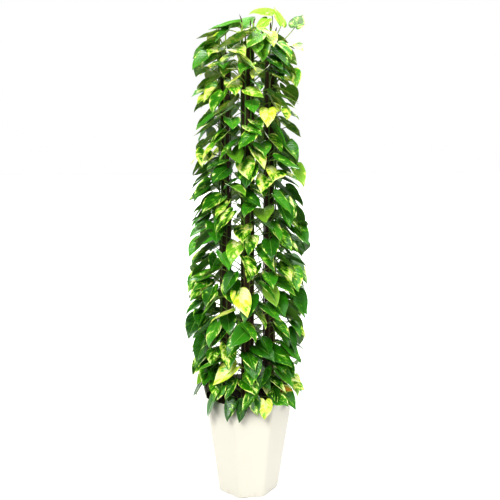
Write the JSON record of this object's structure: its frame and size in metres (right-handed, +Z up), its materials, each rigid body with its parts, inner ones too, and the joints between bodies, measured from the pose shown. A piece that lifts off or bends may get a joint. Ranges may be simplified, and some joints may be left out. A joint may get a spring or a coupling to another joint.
{
  "type": "potted pothos plant",
  "caption": "Tall leafy column of variegated climbing pothos on fibre poles, growing in a plain ivory eight-sided planter that widens towards its open top.",
  "frame": {"origin": "middle of the planter's foot, on the surface that it stands on", "axes": "+Z up along the poles; -Y square to one flat side of the planter, the side that the plant is seen from"},
  "size_m": [0.506, 0.49, 1.8762],
  "materials": {
    "planter": "satin",
    "net": "matte",
    "soil": "matte",
    "pole_fibre": "matte",
    "tie_wire": "matte",
    "plant": "satin"
  },
  "bodies": {
    "root": {"pot": "planter", "drain_net": "net", "soil": "soil", "fibre_pole_a": "pole_fibre", "fibre_pole_b": "pole_fibre", "fibre_pole_c": "pole_fibre", "tie_a1": "tie_wire", "tie_a2": "tie_wire", "tie_a3": "tie_wire", "tie_b1": "tie_wire", "tie_b2": "tie_wire", "tie_b3": "tie_wire", "tie_c1": "tie_wire", "tie_c2": "tie_wire", "tie_c3": "tie_wire", "vine_a1": "plant", "vine_a2": "plant", "vine_a3": "plant", "vine_a4": "plant", "vine_a5": "plant", "vine_a6": "plant", "vine_b1": "plant", "vine_b2": "plant", "vine_b3": "plant", "vine_b4": "plant", "vine_b5": "plant", "vine_b6": "plant", "vine_c1": "plant", "vine_c2": "plant", "vine_c3": "plant", "vine_c4": "plant", "vine_c5": "plant", "vine_c6": "plant"}
  },
  "joints": []
}
